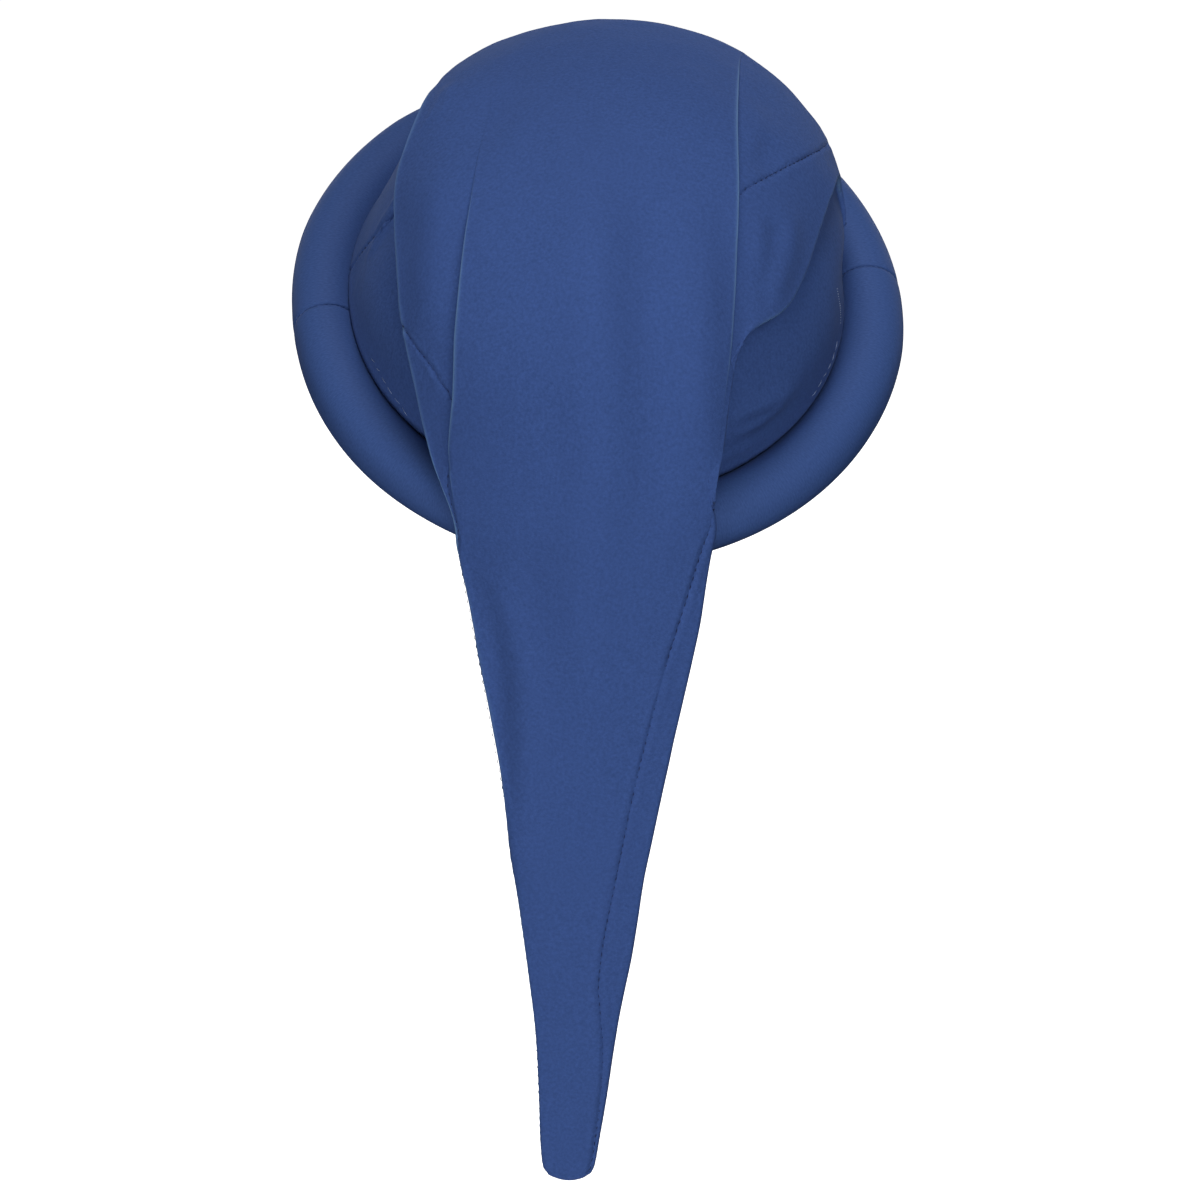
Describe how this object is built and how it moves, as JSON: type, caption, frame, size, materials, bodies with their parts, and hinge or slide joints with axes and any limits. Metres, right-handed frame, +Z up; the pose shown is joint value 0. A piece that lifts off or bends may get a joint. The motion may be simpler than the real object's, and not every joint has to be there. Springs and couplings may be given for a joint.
{
  "type": "elf hat",
  "caption": "Soft pointed cloth hat with a stuffed roll brim, its long cone flopped over behind the head and hanging as a tapering tail.",
  "frame": {"origin": "middle of the head opening, in the middle plane of the roll brim, where the hat sits round a head", "axes": "+Z up as worn, +X to the right seen from behind, +Y towards the forehead; the brim is tipped back about X"},
  "size_m": [0.2168, 0.234, 0.3773],
  "materials": {
    "front_panel_crepe": "matte crepe",
    "back_panel_crepe": "matte crepe",
    "front_roll_cloth": "matte, stuffed",
    "back_roll_cloth": "matte, stuffed"
  },
  "bodies": {
    "root": {"front_panel": "front_panel_crepe", "back_panel": "back_panel_crepe", "brim_roll_front": "front_roll_cloth", "brim_roll_back": "back_roll_cloth"}
  },
  "joints": []
}
